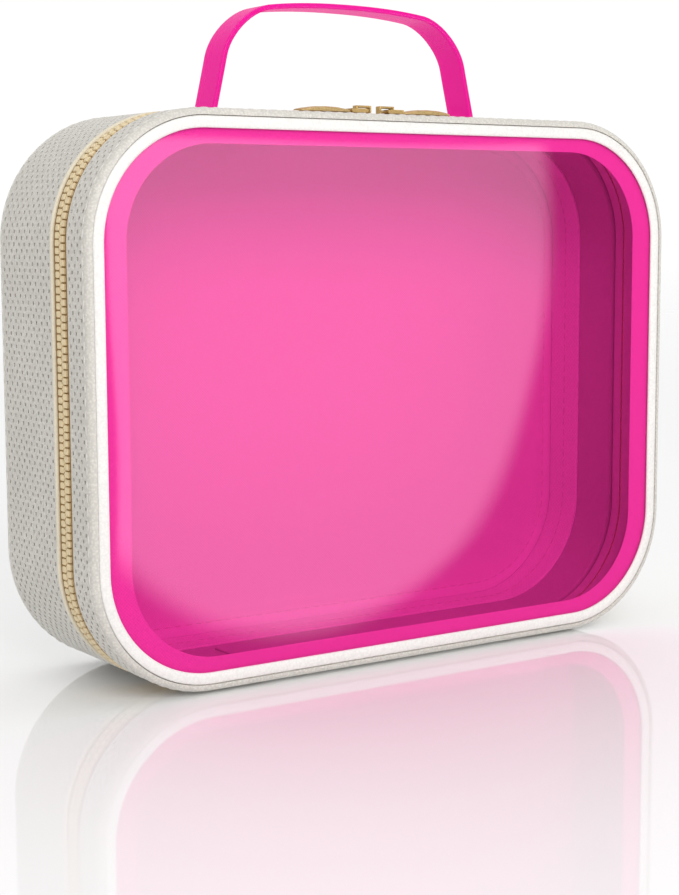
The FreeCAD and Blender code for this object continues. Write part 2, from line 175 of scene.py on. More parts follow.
class Finish:
    """One material, built node by node."""

    def __init__(self, name, world=None):
        self.material = world or bpy.data.materials.new(name)
        self.material.use_nodes = True
        self.tree = self.material.node_tree
        self.tree.nodes.clear()
        self.output = self.tree.nodes.new("ShaderNodeOutputWorld" if world else "ShaderNodeOutputMaterial")

    def node(self, kind, settings=None, values=None, output=0):
        made = self.tree.nodes.new(kind)
        for name, value in (settings or {}).items():
            setattr(made, name, value)
        for name, value in (values or {}).items():
            if isinstance(value, Wire):
                self.tree.links.new(value.socket, made.inputs[name])
            else:
                made.inputs[name].default_value = value
        return Wire(self, made.outputs[output])

    def spot(self):
        """Place on the piece, in metres."""
        return self.node("ShaderNodeTexCoord", output="Object")

    def cloth(self):
        """Place on the surface, in millimetres along and across."""
        return self.node("ShaderNodeTexCoord", output="UV")

    def axes(self, vector):
        split = self.node("ShaderNodeSeparateXYZ", values={0: vector})
        return [Wire(self, socket) for socket in split.socket.node.outputs]

    def noise(self, place, scale, detail=2.0, roughness=0.5):
        values = {"Vector": place, "Scale": scale, "Detail": detail, "Roughness": roughness}
        return self.node("ShaderNodeTexNoise", None, values, "Fac")

    def cells(self, place, scale):
        values = {"Vector": place, "Scale": scale}
        return self.node("ShaderNodeTexVoronoi", {"feature": "SMOOTH_F1"}, values, "Distance")

    def mix(self, share, first, second):
        values = {"Factor": share, 6: first, 7: second}
        return self.node("ShaderNodeMix", {"data_type": "RGBA"}, values, 2)

    def ramp(self, value, start, end):
        """Smooth step from 0 at start to 1 at end."""
        return self.node("ShaderNodeMapRange", {"interpolation_type": "SMOOTHSTEP"},
                         {"Value": value, "From Min": min(start, end), "From Max": max(start, end),
                          "To Min": float(start > end), "To Max": float(start < end)})

    def bump(self, height, distance, strength=1.0):
        values = {"Height": height, "Distance": distance, "Strength": strength}
        return self.node("ShaderNodeBump", None, values)

    def principled(self, **values):
        named = {name.replace("_", " ").title(): value for name, value in values.items()}
        for word in ("Ior Level", "Ior"):
            named = {name.replace(word, word.replace("Ior", "IOR")): value for name, value in named.items()}
        return self.node("ShaderNodeBsdfPrincipled", None, named)

    def done(self, shader):
        self.tree.links.new(shader.socket, self.output.inputs["Surface"])
        return self.material


def colour(red, green, blue):
    """Display colour from 0 to 255 as a linear colour."""
    linear = [((c / 255 + 0.055) / 1.055) ** 2.4 if c > 10 else c / 3294 for c in (red, green, blue)]
    return (*linear, 1.0)


def darker(tone, share):
    """The same display colour at this share of its brightness."""
    return colour(*[part * share for part in tone])


# ---------------------------------------------------------------- materials

def leatherette(name, tone, grain=1.0, marks=0.5):
    """Coated cloth with a fine pebble grain and faint handling marks."""
    finish = Finish(name)
    spot = finish.spot()
    pebbles = finish.cells(spot, 1300.0)
    fine = finish.noise(spot, 2600.0, 3.0)
    cloud = finish.noise(spot, 34.0, 3.0)
    base = finish.mix(cloud * marks + pebbles * 0.9 * grain, colour(*tone), darker(tone, 0.86))
    height = fine * 0.5 - pebbles * 1.2
    return finish.done(finish.principled(
        base_color=base,
        roughness=0.42 + fine * 0.2,
        normal=finish.bump(height, 0.12 * MM * grain, 0.8),
        coat_weight=0.08,
        coat_roughness=0.35,
    ))


def woven(name, tone, threads=0.55, shine=0.6, slub=0.6):
    """Close plain weave, with threads this many millimetres apart."""
    finish = Finish(name)
    along, across, _ = finish.axes(finish.cloth())
    turn = math.pi / threads
    weft = (along * turn).sine() * (across * turn).sine()
    slubs = finish.noise(finish.spot(), 900.0, 2.0)
    height = weft * 0.5 + slubs * 0.4
    base = finish.mix(slubs * slub + weft * 0.15, colour(*tone), darker(tone, 0.86))
    return finish.done(finish.principled(
        base_color=base,
        roughness=shine,
        normal=finish.bump(height, 0.06 * MM, 0.5),
        sheen_weight=0.15,
    ))


def tape_cloth():
    """Zipper tape: cream weave, with painted shade as a brown band beside the teeth, where the recess
    between the chain and the walls lies in shadow.
    """
    finish = Finish("zipper_tape")
    along, across, _ = finish.axes(finish.cloth())
    rib = (along * (math.pi / 0.45)).sine() * (across * (math.pi / 0.8)).sine()
    _, depth, _ = finish.axes(finish.spot())
    from_chain = (depth - ZIP).size()
    # Painted shade: tape within this reach of the chain is coloured brown to stand in for the shadow in the
    # recess beside the teeth.
    edge = from_chain.below(TOOTH_REACH + 2.9 * MM)
    base = finish.mix(edge, colour(246, 238, 216), colour(150, 116, 62))
    return finish.done(finish.principled(
        base_color=base,
        roughness=0.7,
        normal=finish.bump(rib, 0.07 * MM, 0.5),
    ))


def gold(name, roughness=0.24, tone=(214, 180, 118), metallic=0.85):
    """Light gold plating with fine wear."""
    finish = Finish(name)
    spot = finish.spot()
    wear = finish.noise(spot, 700.0, 4.0)
    base = finish.mix(wear, colour(*tone), darker(tone, 0.82))
    return finish.done(finish.principled(
        base_color=base,
        metallic=metallic,
        roughness=roughness + wear * 0.16,
        normal=finish.bump(wear, 0.02 * MM, 0.4),
    ))


def gold_tab():
    """Pull tab: gold foil with a pressed crosswise rib."""
    finish = Finish("gold_tab")
    spot = finish.spot()
    along, depth, _ = finish.axes(spot)
    turn = math.pi / (0.9 * MM)
    ribs = ((along + depth) * turn).sine() * ((along - depth) * turn).sine()
    speckle = finish.noise(spot, 1500.0, 3.0)
    base = finish.mix(speckle, colour(222, 196, 140), colour(170, 138, 82))
    return finish.done(finish.principled(
        base_color=base,
        metallic=0.45,
        roughness=0.4,
        normal=finish.bump(ribs * 0.6 + speckle, 0.12 * MM, 0.6),
    ))


def pink_film():
    """Clear glossy film that tints what is behind it."""
    finish = Finish("pink_film")
    spot = finish.spot()
    ripple = finish.noise(spot, 9.0, 1.0)
    gloss = finish.bump(ripple, 0.5 * MM, 0.3)
    tinted = finish.node("ShaderNodeBsdfTransparent", None, {"Color": (0.995, 0.46, 0.785, 1.0)})
    surface = finish.principled(
        base_color=(0.98, 0.96, 0.98, 1.0),
        metallic=1.0,
        roughness=0.03,
        normal=gloss,
    )
    facing = finish.node("ShaderNodeLayerWeight", None, {"Blend": 0.5, "Normal": gloss}, "Facing")
    share = facing.power(5.0) * 0.5 + 0.026
    return finish.done(finish.node("ShaderNodeMixShader", None, {0: share, 1: tinted, 2: surface}))


def handle_plastic():
    """Glossy pink strap that lets a little light through."""
    finish = Finish("pink_strap")
    spot = finish.spot()
    cloud = finish.noise(spot, 60.0, 2.0)
    base = finish.mix(cloud, colour(252, 14, 166), colour(244, 8, 156))
    surface = finish.principled(
        base_color=base,
        roughness=0.22 + cloud * 0.06,
        specular_ior_level=0.35,
        coat_weight=0.15,
        coat_roughness=0.08,
        normal=finish.bump(cloud, 0.15 * MM, 0.3),
    )
    tinted = finish.node("ShaderNodeBsdfTransparent", None, {"Color": (0.97, 0.14, 0.64, 1.0)})
    return finish.done(finish.node("ShaderNodeMixShader", None, {0: 0.34, 1: tinted, 2: surface}))


def plain_board(name, tone):
    """Grey fibre board or foam, inside the walls."""
    finish = Finish(name)
    fibres = finish.noise(finish.spot(), 800.0, 4.0)
    base = finish.mix(fibres, colour(*tone), darker(tone, 0.8))
    rough = finish.bump(fibres, 0.1 * MM)
    return finish.done(finish.principled(base_color=base, roughness=0.9, normal=rough))


def sewing_thread():
    """Pale twisted thread."""
    finish = Finish("thread")
    twist = finish.noise(finish.spot(), 4000.0, 2.0)
    base = finish.mix(twist, colour(240, 238, 232), colour(212, 208, 200))
    strands = finish.bump(twist, 0.05 * MM)
    return finish.done(finish.principled(base_color=base, roughness=0.6, normal=strands))


WALL = leatherette("perforated_leatherette", (238, 234, 225), 1.5)
SMOOTH = leatherette("smooth_leatherette", (250, 248, 244), 0.6, 0.2)
TURNED_EDGE = leatherette("turned_edge", (246, 236, 212), 0.6)
# Painted shade: the hole bottoms are coloured near-black to stand in for the shade inside each perforation.
PAINTED_HOLE_SHADE = leatherette("painted_hole_shade", (40, 38, 36))
LINING = woven("lining_cloth", (206, 203, 204), 0.5, 0.5)
PANEL = woven("back_panel_cloth", (244, 241, 243), 0.5, 0.5, 0.3)
BINDING = woven("binding_tape", (252, 250, 251), 0.9, 0.45)
ALLOWANCE = woven("seam_allowance", (252, 250, 251), 0.6, 0.5)
TAPE = tape_cloth()
TAPE_BACK = woven("zipper_tape_back", (222, 219, 219), 0.6, 0.6)
GOLD = gold("gold_plate")
TEETH = gold("gold_teeth", 0.42, (253, 232, 188), 0.2)
TAB = gold_tab()
FILM = pink_film()
STRAP = handle_plastic()
FOAM = plain_board("foam_padding", (214, 212, 206))
BOARD = plain_board("stiffener_board", (170, 166, 158))
STITCH = sewing_thread()


# ---------------------------------------------------------------- making pieces

def add_piece(name, bm, body, materials, replaces=(), sharp=35.0):
    """Turn a finished bmesh into a piece that rides on one body."""
    mesh = bpy.data.meshes.new(name)
    bm.to_mesh(mesh)
    bm.free()
    mesh.shade_smooth()
    mesh.set_sharp_from_angle(angle=math.radians(sharp))
    for material in materials:
        mesh.materials.append(material)
    made = bpy.data.objects.new(name, mesh)
    bpy.context.scene.collection.objects.link(made)
    if body:
        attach(made, body)
    if replaces:
        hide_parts(*replaces)
    return made


def modify(made, kind, **settings):
    modifier = made.modifiers.new(kind.lower(), kind)
    for name, value in settings.items():
        setattr(modifier, name, value)
    return modifier


def grid(columns, rows):
    """Flat grid whose vertices run from 0 to the counts along X and Y."""
    bm = bmesh.new()
    bmesh.ops.create_grid(bm, x_segments=columns, y_segments=rows, size=0.5)
    for vertex in bm.verts:
        vertex.co.x = round((vertex.co.x + 0.5) * columns)
        vertex.co.y = round((vertex.co.y + 0.5) * rows)
    return bm


def wrap(bm, outline, profile):
    """Lead a flat sheet, laid out as distance along, distance across and depth, round an outline."""
    cloth = bm.loops.layers.uv.verify()
    for face in bm.faces:
        for loop in face.loops:
            loop[cloth].uv = (loop.vert.co.x / MM, loop.vert.co.y / MM)
    for vertex in bm.verts:
        y, inset = profile(vertex.co.y)
        point, out = outline.place(vertex.co.x, inset + vertex.co.z)
        vertex.co = point + Vector((0.0, y, 0.0))
    bmesh.ops.remove_doubles(bm, verts=bm.verts, dist=0.001 * MM)
    bmesh.ops.recalc_face_normals(bm, faces=bm.faces)
    return bm


def polyline(corners):
    """Function that walks a list of (depth, inset) corners, and its length."""
    lengths = [math.dist(a, b) for a, b in zip(corners, corners[1:])]

    def walk(distance):
        for length, a, b in zip(lengths, corners, corners[1:]):
            if distance <= length + 1e-9:
                share = distance / length
                return a[0] + (b[0] - a[0]) * share, a[1] + (b[1] - a[1]) * share
            distance -= length
        return corners[-1]

    return walk, lengths


def hoop(outline, corners, start=0.0, end=None, closed=True):
    """Band with the cross-section given by (depth, inset) corners, led round the outline."""
    if closed:
        corners = corners + corners[:1]
    end = outline.length if end is None else end
    walk, lengths = polyline(corners)
    marks = [sum(lengths[:index]) for index in range(len(corners))]
    steps = math.ceil((end - start) / AROUND_STEP)
    bm = grid(steps, len(corners) - 1)
    for vertex in bm.verts:
        vertex.co.x = start + (end - start) * vertex.co.x / steps
        vertex.co.y = marks[int(vertex.co.y)]
    wrap(bm, outline, walk)
    if closed and end - start < outline.length - AROUND_STEP / 2:
        bmesh.ops.holes_fill(bm, edges=[edge for edge in bm.edges if edge.is_boundary])
        bmesh.ops.recalc_face_normals(bm, faces=bm.faces)
    return bm


def add_copies(bm, mesh, matrices):
    """Add one copy of a small mesh at each place."""
    for matrix in matrices:
        start = len(bm.verts)
        bm.from_mesh(mesh)
        bm.verts.ensure_lookup_table()
        bmesh.ops.transform(bm, matrix=matrix, verts=bm.verts[start:])


def on_outline(outline, distance, inset, y):
    """Place on an outline, with X along it, Z out of it and Y as the case's own."""
    point, out = outline.place(distance, inset)
    along = Vector((0.0, 1.0, 0.0)).cross(out)
    turned = Matrix((along, Vector((0.0, 1.0, 0.0)), out)).transposed().to_4x4()
    return Matrix.Translation(point + Vector((0.0, y, 0.0))) @ turned


# ---------------------------------------------------------------- walls

def shoulder_corners(edge, depth, inset, steps):
    """Quarter ellipse from the flat of a wall over to its sewn edge, as (depth, inset) corners."""
    way = math.copysign(1.0, edge)
    turns = [math.pi / 2 * step / steps for step in range(1, steps + 1)]
    return [(edge - way * depth * (1 - math.sin(turn)), inset * (1 - math.cos(turn))) for turn in turns]


def mouth_corners(mouth, way):
    """Turned edge of a wall at its mouth, from the inside out to the flat."""
    corners = ((0.75, 1.75), (0.15, 1.35), (0.0, 0.85), (0.12, 0.4), (0.4, 0.12), (0.8, 0.0))
    return [(mouth + way * y * MM, inset * MM) for y, inset in corners]


def perforated_wall(name, edge, mouth, body, node):
    """Skin of one tray's side wall, with real holes right round it."""
    way = math.copysign(1.0, edge)
    corners = mouth_corners(mouth, way)
    roll = len(corners) - 1
    flat = abs(edge - mouth) - 0.8 * MM - SHOULDER_DEPTH
    row_count = int((flat - 1.3 * MM) / HOLE_COLUMNS)
    first = corners[-1][0] + way * 0.5 * MM
    corners += [(first + way * row * HOLE_COLUMNS, 0.0) for row in range(row_count + 1)]
    corners += [(edge - way * SHOULDER_DEPTH, 0.0)]
    corners += shoulder_corners(edge, SHOULDER_DEPTH, SHOULDER_WIDTH, 7)
    corners += [(edge - way * 0.9 * MM, SHOULDER_WIDTH + 0.15 * MM)]
    walk, lengths = polyline(corners)
    marks = [sum(lengths[:index]) for index in range(len(corners))]
    columns = 2 * round(CASE.length / HOLE_ROWS / 2)
    bm = grid(columns, len(corners) - 1)
    for face in bm.faces:
        centre = face.calc_center_median()
        band = int(centre.y) - roll - 1
        holed = 0 <= band < row_count and (band + int(centre.x)) % 2 == 0
        face.material_index = 1 if holed else 0
    for vertex in bm.verts:
        vertex.co.x *= CASE.length / columns
        vertex.co.y = marks[int(round(vertex.co.y))]
    holes = [face for face in bm.faces if face.material_index]
    bmesh.ops.inset_individual(bm, faces=holes, thickness=HOLE_RIM, use_even_offset=True)
    rims = list({vertex for face in holes for vertex in face.verts})
    bmesh.ops.bevel(bm, geom=rims, offset=HOLE_ROUNDING, affect="VERTICES", segments=1, profile=0.5,
                    material=-1)
    holes = [face for face in bm.faces if len(face.verts) == 8]
    for face in bm.faces:
        face.material_index = 0
    bmesh.ops.inset_individual(bm, faces=holes, thickness=0.05 * MM, depth=HOLE_DEPTH, use_even_offset=True)
    # The hole bottoms take the near-black painted shade.
    for face in holes:
        face.material_index = 1
    for face in bm.faces:
        if face.calc_center_median().y < marks[roll]:
            face.material_index = 2
    wrap(bm, CASE, walk)
    return add_piece(name, bm, body, [WALL, PAINTED_HOLE_SHADE, TURNED_EDGE], [node], 40.0)


perforated_wall("front_wall", FRONT, LID_MOUTH, "lid", "front_gusset_skin")
perforated_wall("rear_wall", BACK, BODY_MOUTH, "case_body", "rear_gusset_skin")


def welt(name, edge, body, node):
    """Flat rolled welt between the shoulder and the panel inside it."""
    way = math.copysign(1.0, edge)
    near = SHOULDER_WIDTH + 0.3 * MM
    far = SHOULDER_WIDTH + WELT_WIDTH
    low = edge - way * 0.8 * MM
    corners = [(low, near)]
    for step in range(9):
        turn = math.pi * step / 8
        inset = (near + far) / 2 - (far - near) / 2 * math.cos(turn)
        corners.append((edge + way * 0.15 * MM - way * 0.6 * MM * (1 - math.sin(turn)), inset))
    corners.append((low, far))
    return add_piece(name, hoop(CASE, corners), body, [SMOOTH], [node], 60.0)


welt("front_welt_roll", FRONT, "lid", "front_welt")
welt("rear_welt_roll", BACK, "case_body", "rear_welt")


# ---------------------------------------------------------------- linings and zipper tapes

LINING_OUT = 3.0 * MM
LINING_IN = 3.6 * MM


def lining(name, panel, mouth, body, node):
    """Inner cloth of a side wall, turned back over the padding at the mouth."""
    way = math.copysign(1.0, panel - mouth)
    corners = [
        (panel, LINING_OUT), (panel, LINING_IN), (mouth + way * 0.6 * MM, LINING_IN),
        (mouth + way * 0.15 * MM, LINING_IN - 0.4 * MM), (mouth, LINING_IN - 1.0 * MM), (mouth, 1.85 * MM),
        (mouth + way * 0.5 * MM, 1.85 * MM), (mouth + way * 0.9 * MM, LINING_OUT),
    ]
    return add_piece(name, hoop(CASE, corners), body, [LINING], [node])


front_lining_low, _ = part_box("front_gusset_lining")
_, rear_lining_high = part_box("rear_gusset_lining")
lining("front_lining", front_lining_low.y, LID_MOUTH, "lid", "front_gusset_lining")
lining("rear_lining", rear_lining_high.y, BODY_MOUTH, "case_body", "rear_gusset_lining")


def padding_hoop(name, node, body, mouth):
    """Foam between a side wall's skin and its lining."""
    low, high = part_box(node)
    near = mouth + math.copysign(1.1 * MM, high.y + low.y - 2 * mouth)
    far = low.y if abs(low.y - mouth) > abs(high.y - mouth) else high.y
    inner, outer = LINING_OUT - 0.05 * MM, SKIN + 0.8 * MM
    corners = [(near, outer), (far, outer), (far, inner), (near, inner)]
    made = add_piece(name, hoop(CASE, corners), body, [FOAM], [node])
    return made


padding_hoop("front_wall_padding", "front_gusset_foam", "lid", LID_MOUTH)
padding_hoop("rear_wall_padding", "rear_gusset_foam", "case_body", BODY_MOUTH)

TAPE_START = 60.5 * MM


def zipper_tape(name, node, body, side):
    """Tape under a wall's edge, thicker where its teeth are woven in."""
    low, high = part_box(node)
    under = low.y if side < 0 else high.y
    edge = ZIP + side * 0.46 * MM
    inner, outer, cord = 1.7 * MM, 1.05 * MM, 2.35 * MM
    corners = [(under, outer), (edge, outer), (edge, cord), (ZIP + side * 4.6 * MM, cord),
               (ZIP + side * 5.2 * MM, inner), (under, inner)]
    bm = hoop(CASE, corners, TAPE_START, CASE.length - TAPE_START)
    for face in bm.faces:
        middle = face.calc_center_median()
        face.material_index = int(face.normal.x * middle.x + face.normal.z * (middle.z - MIDDLE) < 0.0)
    return add_piece(name, bm, body, [TAPE, TAPE_BACK], [node])


zipper_tape("front_zipper_tape", "zipper_tape_lid", "lid", -1.0)
zipper_tape("rear_zipper_tape", "zipper_tape_rear", "case_body", 1.0)


# ---------------------------------------------------------------- zipper chain

def small_block(length, width, height, rounding):
    """Rounded block about the origin, as a mesh to copy."""
    bm = bmesh.new()
    bmesh.ops.create_cube(bm, size=1.0)
    bmesh.ops.scale(bm, vec=(length, width, height), verts=bm.verts)
    bmesh.ops.bevel(bm, geom=bm.edges, offset=rounding, affect="EDGES", segments=1, profile=0.5,
                    material=-1)
    mesh = bpy.data.meshes.new("block")
    bm.to_mesh(mesh)
    bm.free()
    return mesh


def teeth_row(name, node, body, side, shift):
    """One half of the chain. Its teeth reach past the middle except where the sliders run."""
    outer_y = ZIP + side * TOOTH_REACH
    count = int((CASE.length - 2 * CHAIN_START) / TOOTH_PITCH)
    bm = bmesh.new()
    width = TOOTH_REACH - 0.42 * MM
    jaw = small_block(2.05 * MM, width, 2.1 * MM, 0.26 * MM)
    tip = small_block(0.95 * MM, 1.5 * MM, 1.7 * MM, 0.26 * MM)
    jaws, tips = [], []
    for index in range(count):
        distance = CHAIN_START + (index + 0.5 + shift) * TOOTH_PITCH
        jaws.append(on_outline(CASE, distance, TOOTH_INSET, outer_y - side * width / 2))
        if abs(distance - CASE.length / 2) > SLIDER_RUN:
            tips.append(on_outline(CASE, distance, TOOTH_INSET, ZIP + side * 0.35 * MM))
    add_copies(bm, jaw, jaws)
    add_copies(bm, tip, tips)
    return add_piece(name, bm, body, [TEETH], [node], 30.0)


teeth_row("front_teeth", "zipper_teeth_lid", "lid", -1.0, 0.0)
teeth_row("rear_teeth", "zipper_teeth_rear", "case_body", 1.0, 0.5)


# ---------------------------------------------------------------- metal fittings

def softened(name, node, body, width):
    """Gold-plated copy of a hard piece, merged, with rounded edges."""
    bm = bmesh.new()
    bm.from_mesh(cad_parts[node].data)
    bmesh.ops.remove_doubles(bm, verts=bm.verts, dist=0.002 * MM)
    bmesh.ops.dissolve_limit(bm, angle_limit=math.radians(2.0), verts=bm.verts, edges=bm.edges)
    made = add_piece(name, bm, body, [GOLD], [node])
    modify(made, "BEVEL", width=width, segments=2, limit_method="ANGLE", angle_limit=math.radians(40.0))
    return made


def pull_leaf(side):
    """Padded leaf that hangs from a slider, thick in the middle and thin at both ends."""
    low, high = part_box(f"pull_tab_{side}")
    middle, half = (low + high) / 2, (high - low) / 2
    bm = bmesh.new()
    bmesh.ops.create_cube(bm, size=2.0)
    bmesh.ops.subdivide_edges(bm, edges=bm.edges, cuts=13, use_grid_fill=True)
    for vertex in bm.verts:
        along, across, up = vertex.co
        thinning = 1.0 - 0.62 * abs(along) ** 2.2 - 0.25 * across**4
        knots = 0.07 * math.cos(along * 9 * math.pi) * (1 - across**2) * (up > 0.99) * (1 - along**2)
        vertex.co.y *= 1.0 - 0.3 * abs(along) ** 5
        vertex.co.x *= 1.0 - 0.05 * across**4
        vertex.co.z = (up + 1) * thinning - 1 + 2 * knots
    bmesh.ops.scale(bm, vec=half, verts=bm.verts)
    bmesh.ops.translate(bm, vec=middle, verts=bm.verts)
    made = add_piece(f"{side}_pull", bm, f"pull_{side}", [TAB], [f"pull_tab_{side}"], 180.0)
    modify(made, "SUBSURF", levels=1, render_levels=1)
    return made


for side in ("left", "right"):
    softened(f"{side}_slider", f"slider_body_{side}", f"slider_{side}", 0.25 * MM)
    softened(f"{side}_slider_arch", f"slider_bridge_{side}", f"slider_{side}", 0.2 * MM)
    softened(f"{side}_pull_loop", f"pull_ring_{side}", f"pull_{side}", 0.15 * MM)
    pull_leaf(side)
softened("handle_rivet_heads", "handle_rivets", "case_body", 0.15 * MM)
softened("front_chain_stops", "zipper_stops_lid", "lid", 0.3 * MM)
softened("rear_chain_stops", "zipper_stops_rear", "case_body", 0.3 * MM)


# ---------------------------------------------------------------- window

def inner_outline(inset):
    """Outline this far inside the case's own, whose corners never turn inside out."""
    return Outline(HALF_WIDTH - inset, HALF_HEIGHT - inset, max(CORNER - inset, 6.0 * MM))


def disc(inset, around, rings, height, edge_step=2.0 * MM):
    """Flat panel with rounded corners. Height gives its Y at (distance from its edge, place)."""
    steps = [edge_step * ring for ring in range(min(rings, 12))]
    outlines = [inner_outline(inset + step) for step in steps]
    last = outlines[-1]
    for ring in range(1, rings + 1):
        share = 1.0 - ring / (rings + 0.4)
        outlines.append((last, share))
    bm = grid(around, len(outlines) - 1)
    half = HALF_HEIGHT - inset
    for vertex in bm.verts:
        ring = int(round(vertex.co.y))
        entry = outlines[ring]
        outline, share = entry if isinstance(entry, tuple) else (entry, 1.0)
        point, _ = outline.place(outline.length * vertex.co.x / around)
        x, z = point.x * share, (point.z - MIDDLE) * share
        from_edge = steps[ring] if ring < len(steps) else steps[-1] + (half - steps[-1]) * (1 - share)
        vertex.co = (x, height(from_edge, x, z), z + MIDDLE)
    bmesh.ops.remove_doubles(bm, verts=bm.verts, dist=0.001 * MM)
    inner = [edge for edge in bm.edges if edge.is_boundary and edge.verts[0].co.x ** 2 < (8 * MM) ** 2
             and abs(edge.verts[0].co.z - MIDDLE) < 8 * MM]
    bmesh.ops.holes_fill(bm, edges=inner)
    cloth = bm.loops.layers.uv.verify()
    for face in bm.faces:
        for loop in face.loops:
            loop[cloth].uv = (loop.vert.co.x / MM, loop.vert.co.z / MM)
    return bm


def thick(bm, thickness, towards_front):
    """Give a panel its thickness, on the side given."""
    for face in bm.faces:
        if (face.normal.y < 0) != towards_front:
            face.normal_flip()
    bm.normal_update()
    bmesh.ops.solidify(bm, geom=bm.faces, thickness=thickness)
    bmesh.ops.recalc_face_normals(bm, faces=bm.faces)
    return bm


film_low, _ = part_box("window_sheet")


def film_height(from_edge, x, z):
    fullness = min(from_edge / (40.0 * MM), 1.0)
    ripple = math.sin(x * 38.0 + z * 21.0) + 0.6 * math.sin(z * 57.0 - x * 13.0 + 1.0)
    return film_low.y - 0.12 * MM * math.sin(fullness * math.pi / 2) - 0.07 * MM * ripple * fullness


film = thick(disc(PANEL_INSET, 300, 26, film_height, 3.0 * MM), FILM_THICKNESS, True)
window = add_piece("window_film", film, "lid", [FILM], ["window_sheet"])

allowance_low, allowance_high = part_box("window_allowance")


def seam_allowance():
    """White band behind the film, whose inner edge is turned."""
    outer = inner_outline(PANEL_INSET)
    inner = Outline(HALF_WIDTH - PANEL_INSET - ALLOWANCE_SIDES, HALF_HEIGHT - PANEL_INSET - ALLOWANCE_ENDS,
                    ALLOWANCE_CORNER)
    middle_y = (allowance_low.y + allowance_high.y) / 2
    # (share of the way in, millimetres behind the middle), from the film's side round to the back
    rows = [(0.0, -0.05), (0.55, -0.05), (0.88, -0.05), (0.95, -0.14), (0.99, -0.1), (1.0, 0.1),
            (0.99, 0.3), (0.88, 0.3), (0.55, 0.3), (0.0, 0.3), (0.0, -0.05)]
    around = 300
    bm = grid(around, len(rows) - 1)
    for vertex in bm.verts:
        share, lift = rows[int(round(vertex.co.y))]
        along = vertex.co.x / around
        first, _ = outer.place(outer.length * along)
        second, _ = inner.place(inner.length * along)
        vertex.co = first.lerp(second, share) + Vector((0.0, middle_y + lift * MM, 0.0))
    bmesh.ops.remove_doubles(bm, verts=bm.verts, dist=0.001 * MM)
    bmesh.ops.recalc_face_normals(bm, faces=bm.faces)
    cloth = bm.loops.layers.uv.verify()
    for face in bm.faces:
        for loop in face.loops:
            loop[cloth].uv = (loop.vert.co.x / MM, loop.vert.co.z / MM)
    return add_piece("window_seam_allowance", bm, "lid", [ALLOWANCE], ["window_allowance"])


seam_allowance()


# ---------------------------------------------------------------- back panel

_, skin_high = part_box("back_panel_skin")
foam_low, foam_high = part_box("back_panel_foam")
cloth_low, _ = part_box("back_panel_lining")
CLOTH_INSET = 3.7 * MM
STITCH_LINE = 4.6 * MM


def edge_round(from_edge):
    """Share of the first step up from a panel's sewn edge."""
    return 0.35 * (1.0 - math.exp(-from_edge / (2.0 * MM)))


def crown(from_edge, rise, seam):
    """Padding that sinks at the stitch line and fills out inside it."""
    sink = math.exp(-((from_edge - seam) / (1.3 * MM)) ** 2)
    fill = 1.0 - math.exp(-max(from_edge - seam, 0.0) / (9.0 * MM))
    edge = edge_round(from_edge) * (from_edge < seam + 1 * MM)
    return rise * (fill + edge - 0.5 * sink)


def outer_skin_height(from_edge, x, z):
    bulge = 0.5 * MM * min(from_edge / (60 * MM), 1.0)
    return skin_high.y + 0.9 * MM * edge_round(from_edge) + bulge


skin = thick(disc(PANEL_INSET, 300, 24, outer_skin_height, 3.0 * MM), 0.8 * MM, False)
outer_panel = add_piece("back_panel_outer", skin, "case_body", [SMOOTH], ["back_panel_skin"])


def foam_height(from_edge, x, z):
    return foam_low.y


foam = thick(disc(3.6 * MM, 120, 8, foam_height), foam_high.y - foam_low.y, True)
foam_pad = add_piece("back_panel_padding", foam, "case_body", [FOAM], ["back_panel_foam"])


def inner_cloth_height(from_edge, x, z):
    return cloth_low.y + 0.3 * MM - crown(from_edge, 1.1 * MM, STITCH_LINE)


cloth = thick(disc(CLOTH_INSET, 300, 24, inner_cloth_height, 1.5 * MM), 0.6 * MM, True)
inner_panel = add_piece("back_panel_cloth", cloth, "case_body", [PANEL], ["back_panel_lining"])
for node in ("back_panel_board", "handle_plates"):
    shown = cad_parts[node].data.materials
    shown.clear()
    shown.append(BOARD)

binding_low, binding_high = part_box("rear_seam_binding")


def seam_binding():
    """Tape over the seam between the back wall and the back panel, folded at both edges."""
    low, high = binding_low.y, binding_high.y
    corners = [(low, 3.62), (high, 3.62), (high + 0.1 * MM, 4.0), (high, 4.35), (high - 0.8 * MM, 4.5),
               (high - 2.0 * MM, 4.3), ((low + high) / 2, 4.2), (low + 2.0 * MM, 4.3),
               (low + 0.8 * MM, 4.5), (low, 4.35), (low - 0.1 * MM, 4.0)]
    corners = [(y, inset * MM) for y, inset in corners]
    return add_piece("seam_binding_tape", hoop(CASE, corners), "case_body", [BINDING],
                     ["rear_seam_binding"])


seam_binding()


# ---------------------------------------------------------------- stitches

def thread_mesh():
    """One stitch, as a mesh to copy."""
    bm = bmesh.new()
    bmesh.ops.create_uvsphere(bm, u_segments=6, v_segments=5, radius=0.5)
    bmesh.ops.rotate(bm, matrix=Matrix.Rotation(math.pi / 2, 3, "Y"), verts=bm.verts)
    bmesh.ops.scale(bm, vec=(STITCH_LENGTH, THREAD * 1.25, THREAD), verts=bm.verts)
    mesh = bpy.data.meshes.new("stitch")
    bm.to_mesh(mesh)
    bm.free()
    return mesh


THREAD_MESH = thread_mesh()


def stitch_row(name, outline, inset, y, body, turn_flat=False):
    """Row of lockstitches right round an outline."""
    count = round(outline.length / STITCH_PITCH)
    bm = bmesh.new()
    places = []
    for index in range(count):
        place = on_outline(outline, outline.length * (index + 0.5) / count, inset, y)
        if turn_flat:
            place = place @ Matrix.Rotation(math.pi / 2, 4, "X")
        places.append(place)
    add_copies(bm, THREAD_MESH, places)
    return add_piece(name, bm, body, [STITCH], sharp=80.0)


